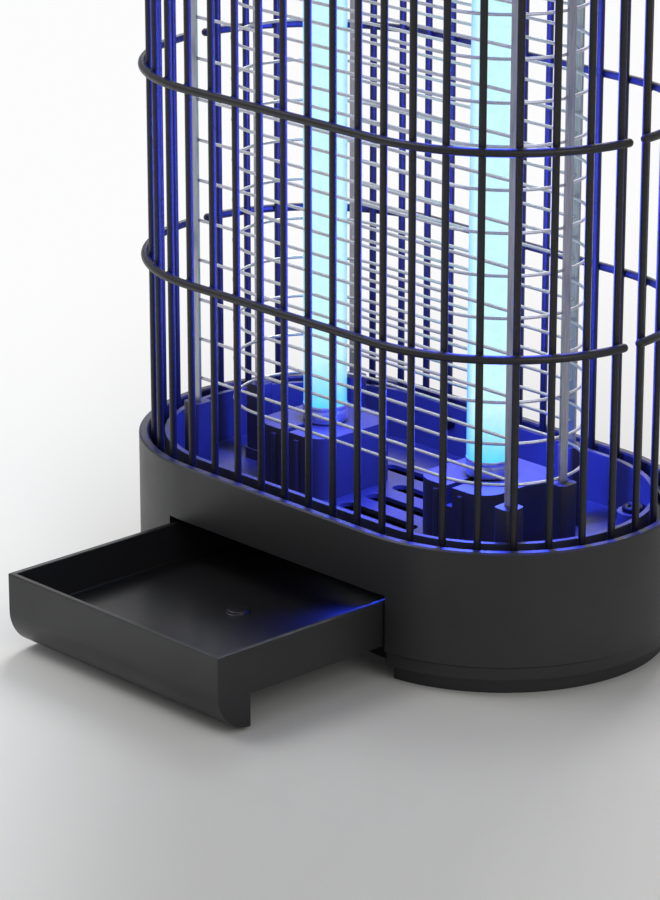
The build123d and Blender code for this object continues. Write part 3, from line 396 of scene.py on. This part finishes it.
def stadium_point(radius, distance):
    """Point at this distance along a stadium line, from the left end of its front straight, anticlockwise:
    front straight, right arc, rear straight, left arc."""
    straight, arc = 2 * HALF_SPAN, math.pi * radius
    s = np.mod(distance, 2 * (straight + arc))
    right = (s - straight) / radius - math.pi / 2
    left = (s - 2 * straight - arc) / radius + math.pi / 2
    parts = [s < straight, s < straight + arc, s < 2 * straight + arc]
    rear_x = HALF_SPAN - (s - straight - arc)
    x = np.select(parts, [s - HALF_SPAN, HALF_SPAN + radius * np.cos(right), rear_x],
                  -HALF_SPAN + radius * np.cos(left))
    y = np.select(parts, [-radius + 0 * s, radius * np.sin(right), radius + 0 * s], radius * np.sin(left))
    return np.stack([x, y], -1)


def domed_steps(length, radius, spacing):
    """Distances along a wire, closer over its domed ends, and the share of its radius at each:
    sqrt(1 - (1 - d / R)^2) within R of an end, and 1 between."""
    cap = radius * (1 - np.cos(np.linspace(0, math.pi / 2, 6)))
    inner = np.linspace(radius, length - radius, max(2, int(length / spacing)))[1:-1]
    distance = np.concatenate([cap, inner, (length - cap)[::-1]])
    near = np.clip(np.minimum(distance, length - distance) / radius, 0, 1)
    return distance, np.sqrt(np.clip(1 - (1 - near) ** 2, 0, 1))


def flat_wire(path, share, radius, levels, sides, closed):
    """Round wire along a path in a level plane, once for each level:
    point = path + R share (outward normal cos t + up sin t)."""
    along = (np.roll(path, -1, 0) - np.roll(path, 1, 0)) if closed else np.gradient(path, axis=0)
    along = along / np.maximum(np.linalg.norm(along, axis=1, keepdims=True), 1e-9)
    outward = np.stack([along[:, 1], -along[:, 0]], -1)
    turn = np.linspace(0, 2 * math.pi, sides, endpoint=False)
    reach = radius * share[:, None]
    flat = path[:, None, :] + (reach * np.cos(turn))[..., None] * outward[:, None, :]
    rise = reach * np.sin(turn)
    return np.stack([np.concatenate([flat, (level + rise)[..., None]], -1) for level in levels])


# ------------------------------------------------------------------ cage
half_line = math.pi * BAR_RING + 2 * HALF_SPAN
bar_steps = (np.arange(BAR_COUNT) + 0.5) * half_line / BAR_COUNT
bars_low, bars_high = (corner.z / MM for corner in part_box("cage_front_bars"))
hoop_half = math.pi * HOOP_RING + 2 * HALF_SPAN
for half, first, seam_gap in (("front", 0.0, FRONT_SEAM), ("rear", half_line, REAR_SEAM)):
    places = stadium_point(BAR_RING, first - math.pi * BAR_RING / 2 + bar_steps)
    feet = np.column_stack([places, np.full(BAR_COUNT, bars_low)])
    bar = rounded_rod(BAR_RADIUS, bars_high - bars_low)
    make_piece(f"cage_{half}_round_bars", [(turned(bar, feet, CAGE_SIDES), False, True)],
               f"cage_{half}_bars", (f"cage_{half}_bars",))

    distance, share = domed_steps(hoop_half - 2 * seam_gap, HOOP_RADIUS, 2.5)
    start = (hoop_half if half == "rear" else 0.0) - math.pi * HOOP_RING / 2 + seam_gap
    hoop_path = stadium_point(HOOP_RING, start + distance)
    make_piece(f"cage_{half}_round_hoops",
               [(flat_wire(hoop_path, share, HOOP_RADIUS, HOOP_LEVELS, CAGE_SIDES, False), False, True)],
               f"cage_{half}_hoops", (f"cage_{half}_hoops",))

    # resistance welds: a flattened bead where each bar meets each hoop
    across = np.linspace(0, math.pi, 7)
    bead = np.column_stack([BEAD_RADIUS * np.sin(across), -BEAD_HALF_HEIGHT * np.cos(across)])
    outward = places - np.column_stack([np.clip(places[:, 0], -HALF_SPAN, HALF_SPAN), np.zeros(BAR_COUNT)])
    outward /= np.linalg.norm(outward, axis=1, keepdims=True)
    bead_places = np.concatenate([np.column_stack([places + BEAD_RADIUS * outward, np.full(BAR_COUNT, level)])
                                  for level in HOOP_LEVELS])
    make_piece(f"cage_{half}_weld_beads", [(turned(bead, bead_places, BEAD_SIDES), False, True)],
               f"cage_{half}_bars")

# ------------------------------------------------------------------ grid
loop_length = 2 * (math.pi * LOOP_RADIUS + 2 * HALF_SPAN)
loop_path = stadium_point(LOOP_RADIUS, np.linspace(0, loop_length, LOOP_STEPS, endpoint=False))
loop_wires = flat_wire(loop_path, np.ones(LOOP_STEPS), WIRE_RADIUS, LOOP_LEVELS, GRID_SIDES, True)
make_piece("grid_round_loop_wires", [(loop_wires, True, True)], "grid_loop_wires", ("grid_loop_wires",))
runs = []
for left, right, side in STRAIGHT_ENDS:
    distance, share = domed_steps(right - left, WIRE_RADIUS, 8.0)
    run = np.column_stack([left + distance, np.full(len(distance), side * STRAIGHT_Y)])
    runs.append((flat_wire(run, share, WIRE_RADIUS, STRAIGHT_LEVELS, GRID_SIDES, False), False, True))
make_piece("grid_round_straight_wires", runs, "grid_straight_wires", ("grid_straight_wires",))

# ------------------------------------------------------------------ lamps
for side, x in (("left", -LAMP_X), ("right", LAMP_X)):
    low, high = (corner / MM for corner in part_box(f"lamp_{side}_glass"))
    length = high.z - low.z
    shoulder = np.linspace(0, math.pi / 2, 7)
    bottom = np.column_stack([TUBE_RADIUS - TUBE_SHOULDER + TUBE_SHOULDER * np.sin(shoulder),
                              TUBE_SHOULDER * (1 - np.cos(shoulder))])
    wall = np.linspace(TUBE_SHOULDER, length - TUBE_SHOULDER, 30)
    straight = np.column_stack([np.full(len(wall), TUBE_RADIUS), wall])
    glass = np.concatenate([[(0, 0)], bottom, straight, bottom[::-1] * (1, -1) + (0, length), [(0, length)]])
    make_piece(f"lamp_{side}_drawn_tube", [(turned(glass, [(x, 0, low.z)], LATHE_SIDES), False, True)],
               f"lamp_{side}_glass", (f"lamp_{side}_glass",))

    # each cap is a drawn cup: closed end, crimped skirt over the glass, rolled lip
    low, high = (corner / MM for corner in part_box(f"lamp_{side}_caps"))
    cup = np.array([(0, 0), (2.6, 0), (7.5, 0), (8.0, 0.15), (8.2, 0.55), (8.2, 4.2), (8.12, 4.5),
                    (8.12, 4.9), (8.2, 5.2), (8.2, 6.3), (8.12, 6.5), (8.02, 6.4), (8.0, 6.2), (8.0, 2.5),
                    (0, 2.5)])
    make_piece(f"lamp_{side}_drawn_caps",
               [(turned(cup, [(x, 0, low.z)], LATHE_SIDES), False, True),
                (turned(cup * (1, -1), [(x, 0, high.z)], LATHE_SIDES), False, True)],
               f"lamp_{side}_caps", (f"lamp_{side}_caps",))

    low, high = (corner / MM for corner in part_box(f"lamp_{side}_pins"))
    pin = np.array([(0, 0), (0.7, 0.08), (1.05, 0.4), (1.175, 0.9), (1.175, 7.0), (0, 7.0)])
    pin_x = (x - PIN_OFFSET, x + PIN_OFFSET)
    make_piece(f"lamp_{side}_turned_pins",
               [(turned(pin, [(px, 0, low.z) for px in pin_x], PIN_SIDES), False, True),
                (turned(pin * (1, -1), [(px, 0, high.z) for px in pin_x], PIN_SIDES), False, True)],
               f"lamp_{side}_pins", (f"lamp_{side}_pins",))

# ------------------------------------------------------------------ screws and feet
boss_places = [(side * (HALF_SPAN + BOSS_RING * math.cos(math.radians(turn))),
                BOSS_RING * math.sin(math.radians(turn))) for side in (-1, 1) for turn in BOSS_ANGLES]


def cross_head_screws(node_name, head_radius, head_height, points_up):
    """Pan heads with a cross recess. The crown is h = H (1 - 0.35 (r / R)^4), and the recess lowers it by
    0.55 H where the nearer of |x| and |y| is under 0.16 R and the further is under 0.62 R, smoothly."""
    low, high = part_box(node_name)
    low_z, high_z = low.z / MM, high.z / MM
    shares = np.concatenate([[0], np.linspace(0.06, 0.96, 16), [1.0]])
    turn = np.linspace(0, 2 * math.pi, LATHE_SIDES, endpoint=False)
    r = head_radius * shares[:, None]
    x, y = r * np.cos(turn), r * np.sin(turn)
    crown = head_height * (1 - 0.35 * shares[:, None] ** 4) + 0 * turn
    near, far = np.minimum(abs(x), abs(y)) / head_radius, np.maximum(abs(x), abs(y)) / head_radius
    cut = 1 / (1 + np.exp((near - 0.16) / 0.03)) / (1 + np.exp((far - 0.62) / 0.04))
    top = np.stack([x, y, crown - 0.55 * head_height * cut], -1)
    tip = head_height - (high_z - low_z)
    edge = turned([(head_radius, 0.65 * head_height), (head_radius, 0), (SCREW_SHANK, 0), (SCREW_SHANK, tip),
                   (0, tip)], [(0, 0, 0)], LATHE_SIDES)[0]
    sheets = []
    for part in (top, edge):
        placed = part * (1, 1, 1 if points_up else -1)
        seat = (high_z - head_height) if points_up else (low_z + head_height)
        places = np.array([(bx, by, seat) for bx, by in boss_places])
        sheets.append((places[:, None, None, :] + placed[None], False, True))
    make_piece(node_name + "_cross_heads", sheets, node_name, (node_name,))


cross_head_screws("deck_screws", 4.2, 2.4, True)
cross_head_screws("top_screws", 3.4, 2.4, True)
cross_head_screws("pan_screws", 3.4, 2.4, False)

# feet: a turned pad with a shallow ring groove and a dished middle
foot = [(0, 0.5), (4.2, 0.3), (4.8, 0.0), (5.6, 0.0), (5.9, 0.4), (6.3, 0.4), (6.6, 0.0), (7.5, 0.0),
        (7.9, 0.25), (8.0, 0.6), (8.0, 2.0), (0, 2.0)]
foot_places = [(fx, fy, 0) for fx in (-FOOT_X, FOOT_X) for fy in (-FOOT_Y, FOOT_Y)]
make_piece("turned_rubber_feet", [(turned(foot, foot_places, LATHE_SIDES), False, True)],
           "rubber_feet", ("rubber_feet",))


# ------------------------------------------------------------------ bail
def rounded_corners(corners, radii, steps=10):
    """Polyline in a plane whose inner corners are arcs: each arc starts and ends r tan(a / 2) from its
    corner, where a is the angle turned through, and its centre lies on the corner's bisector."""
    corners = np.asarray(corners, float)
    blocks = [corners[:1]]
    for before, corner, after, radius in zip(corners, corners[1:], corners[2:], radii):
        inward, onward = before - corner, after - corner
        inward, onward = inward / np.linalg.norm(inward), onward / np.linalg.norm(onward)
        half = math.acos(float(np.clip(inward @ onward, -1, 1))) / 2
        centre = corner + (inward + onward) / np.linalg.norm(inward + onward) * radius / math.sin(half)
        first, last = corner + inward * radius / math.tan(half), corner + onward * radius / math.tan(half)
        a0, a1 = math.atan2(*(first - centre)[::-1]), math.atan2(*(last - centre)[::-1])
        turn = a0 + np.linspace(0, 1, steps) * ((a1 - a0 + math.pi) % (2 * math.pi) - math.pi)
        blocks.append(centre + radius * np.stack([np.cos(turn), np.sin(turn)], -1))
    return np.concatenate(blocks + [corners[-1:]])


bail_low, bail_high = (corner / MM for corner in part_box("bail_handle"))
bail_corners = [(-BAIL_END, 0), (-BAIL_SIDE, 0), (-BAIL_SIDE, BAIL_REACH), (BAIL_SIDE, BAIL_REACH),
                (BAIL_SIDE, 0), (BAIL_END, 0)]
bail_path = rounded_corners(bail_corners, [BAIL_PIVOT_BEND, BAIL_GRIP_BEND, BAIL_GRIP_BEND, BAIL_PIVOT_BEND])
bail_ends = np.ones(len(bail_path))
bail_ends[[0, -1]] = 0.0
bail_path = np.concatenate([bail_path[:1], bail_path, bail_path[-1:]])
bail_ends = np.concatenate([[0.0, 1.0], bail_ends[1:-1], [1.0, 0.0]])
bail_level = (bail_low.z + bail_high.z) / 2
make_piece("bail_bent_wire",
           [(flat_wire(bail_path, bail_ends, BAIL_WIRE, [bail_level], BAIL_SIDES, False), False, True)],
           "bail_handle", ("bail_handle",))


# ------------------------------------------------------------------ CAD pieces with eased edges
def eased(node_name, width_mm):
    """Copy a CAD piece, weld its triangles back into flat faces and round its edges.

    An edge is rounded where its faces turn by more than 32 degrees.
    """
    mesh = frame["nodes"][node_name].data.copy()
    mesh.name = node_name + "_eased"
    work = bmesh.new()
    work.from_mesh(mesh)
    bmesh.ops.remove_doubles(work, verts=work.verts, dist=0.01 * MM)
    bmesh.ops.dissolve_limit(work, angle_limit=math.radians(0.8), verts=work.verts, edges=work.edges)
    work.to_mesh(mesh)
    work.free()
    mesh.shade_smooth()
    piece = bpy.data.objects.new(node_name + "_eased", mesh)
    bpy.context.collection.objects.link(piece)
    edge = piece.modifiers.new("eased_edges", "BEVEL")
    edge.width = width_mm * MM
    edge.segments = 2
    edge.limit_method = "ANGLE"
    edge.angle_limit = math.radians(32)
    level = piece.modifiers.new("level_faces", "WEIGHTED_NORMAL")
    level.keep_sharp = True
    settle(piece, node_name, (node_name,))


edge_widths = {
    "collecting_tray": 0.5, "insect_deck": 0.4, "base_shell": 0.35, "top_shell": 0.35, "top_deck": 0.35,
    "lamp_socket_lower_left": 0.5, "lamp_socket_lower_right": 0.5, "lamp_socket_upper_left": 0.5,
    "lamp_socket_upper_right": 0.5, "grid_insulators_lower": 0.4, "grid_insulators_upper": 0.4,
    "top_cap": 0.4, "base_pan": 0.4, "switch_body": 0.3, "switch_rocker": 0.3,
}
for node_name, width in edge_widths.items():
    eased(node_name, width)


# ------------------------------------------------------------------ floor and lights
# Where the floor changes, in about metres from the object's middle: to a lit white away from the main
# camera, and to a paler grey towards the camera's left, which is painted light on the paper's colour.
WHITE_FROM, WHITE_TO = -0.10, 0.62
PAINTED_LIGHT_FROM, PAINTED_LIGHT_TO = 0.06, 0.17
SOFTBOX_WIDTH, SOFTBOX_AIM = 0.9, Vector((0, 0, 0.1))
TUBE_BLUE, SLOT_BLUE = "#3546ff", "#2c48ff"


def studio_floor():
    """A wide sheet of pale paper, 12 m square. It turns to a white that gives its own light behind the
    object, and it has painted light: its colour is lighter to the left of the object than to the right.
    Both changes run as the main camera faces."""
    reach = 6.0
    mesh = bpy.data.meshes.new("studio_floor")
    mesh.from_pydata([(-reach, -reach, 0), (reach, -reach, 0), (reach, reach, 0), (-reach, reach, 0)], [],
                     [(0, 1, 2, 3)])
    floor = bpy.data.objects.new("studio_floor", mesh)
    bpy.context.collection.objects.link(floor)
    material, tree, output = blank("studio_paper")
    place = add_node(tree, "ShaderNodeTexCoord").outputs["Object"]
    away = (-math.sin(VIEW_TURN) - 0.25, math.cos(VIEW_TURN), 0)
    along = add_node(tree, "ShaderNodeVectorMath", {0: place, 1: away}, operation="DOT_PRODUCT")
    fade = add_node(tree, "ShaderNodeMapRange", {0: along.outputs["Value"], 1: WHITE_FROM, 2: WHITE_TO},
                    interpolation_type="SMOOTHSTEP")
    # painted light: the paper's colour goes from grey to a paler grey towards the left, standing in for
    # brighter light there
    leftwards = (-math.cos(VIEW_TURN), -math.sin(VIEW_TURN), 0)
    across = add_node(tree, "ShaderNodeVectorMath", {0: place, 1: leftwards}, operation="DOT_PRODUCT")
    painted_light_share = add_node(tree, "ShaderNodeMapRange", {0: across.outputs["Value"], 1: PAINTED_LIGHT_FROM, 2: PAINTED_LIGHT_TO},
                       interpolation_type="SMOOTHSTEP")
    sheet = add_node(tree, "ShaderNodeMix", {0: painted_light_share.outputs[0], 6: srgb("#cbcac7"), 7: srgb("#ebebe9")},
                     data_type="RGBA")
    paper = add_node(tree, "ShaderNodeBsdfPrincipled", {"Base Color": sheet.outputs[2], "Roughness": 0.6,
                                                        "Specular IOR Level": 0.25})
    white = add_node(tree, "ShaderNodeEmission", {"Color": srgb("#fcfcfd"), "Strength": 1.0})
    mixed = add_node(tree, "ShaderNodeMixShader", {0: fade.outputs[0], 1: paper.outputs[0],
                                                   2: white.outputs[0]})
    tree.links.new(mixed.outputs[0], output.inputs[0])
    dress(floor, material)
    floor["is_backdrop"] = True


def lamp_object(name, kind, place, power, colour, receivers=None):
    """One light at a place, lighting only the receivers when they are given."""
    lamp = bpy.data.lights.new(name, kind)
    lamp.energy = power
    lamp.color = srgb(colour)[:3]
    holder = bpy.data.objects.new(name, lamp)
    holder.location = place
    bpy.context.collection.objects.link(holder)
    if receivers:
        holder.light_linking.receiver_collection = receivers
    return holder


def softbox(name, place, power):
    """Square softbox aimed at the middle of the object, a little above its base."""
    box = lamp_object(name, "AREA", place, power, "#ffffff")
    box.data.size = SOFTBOX_WIDTH
    box.rotation_mode = "QUATERNION"
    box.rotation_quaternion = (SOFTBOX_AIM - Vector(place)).to_track_quat("-Z", "Y")


# The tubes' blue light reaches neither the floor nor these pieces, so the grid's wires and the tubes keep the
# studio's white. The lamps' caps are lit all the same, and the tray has slot_glow for its blue.
NOT_LIT = ("collecting_tray", "base_pan", "grid_round", "grid_loop", "grid_straight", "lamp_left",
           "lamp_right")
GLOW_STEPS = 7  # lights up each tube
LEFT_GLOW, RIGHT_GLOW = 0.32, 1.1  # watts of each light
LIT_CAPS = ("lamp_left_drawn_caps", "lamp_right_drawn_caps")
inside = bpy.data.collections.new("lit_by_the_tubes")
tray_inside = bpy.data.collections.new("lit_through_the_slots")
shown = list(bpy.context.collection.objects) + list(frame["nodes"].values())
for piece in {piece.name: piece for piece in shown if piece.type == "MESH"}.values():
    if not piece.name.startswith(NOT_LIT) or piece.name.startswith(LIT_CAPS):
        inside.objects.link(piece)
    if piece.name == "collecting_tray_eased":
        tray_inside.objects.link(piece)

for side, power in (("left", LEFT_GLOW), ("right", RIGHT_GLOW)):
    low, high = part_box(f"lamp_{side}_glass")
    middle = (low + high) / 2
    for index in range(GLOW_STEPS):
        share = (index + 0.5) / GLOW_STEPS
        place = (middle.x, middle.y, low.z + share * (high.z - low.z))
        glow = lamp_object(f"glow_{side}_{index}", "POINT", place, power, TUBE_BLUE, inside)
        glow.data.shadow_soft_size = 7.5 * MM
for piece in bpy.context.collection.objects:
    if "drawn_tube" in piece.name:
        piece.visible_shadow = False

# one spot under the deck stands for the light that falls through its slots on the back of the tray
slot_glow = lamp_object("slot_glow", "SPOT", (0.028, -0.046, 0.0295), 0.55, SLOT_BLUE, tray_inside)
slot_target = Vector((0.038, -0.078, 0.013))
slot_glow.data.spot_size = math.radians(105)
slot_glow.data.spot_blend = 1.0
slot_glow.data.shadow_soft_size = 8 * MM
slot_glow.rotation_mode = "QUATERNION"
slot_glow.rotation_quaternion = (slot_target - slot_glow.location).to_track_quat("-Z", "Y")

studio_floor()
softbox("key_softbox", (-0.9, -0.7, 1.7), 9)
softbox("fill_softbox", (1.5, -0.3, 0.9), 5)
softbox("back_softbox", (-0.8, 1.1, 1.5), 22)

world = bpy.data.worlds.new("studio_surround")
world.use_nodes = True
world.node_tree.nodes["Background"].inputs[0].default_value = srgb("#f6f7f9")
world.node_tree.nodes["Background"].inputs[1].default_value = 0.52
bpy.context.scene.world = world
bpy.context.scene.view_settings.view_transform = "Standard"

low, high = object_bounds()
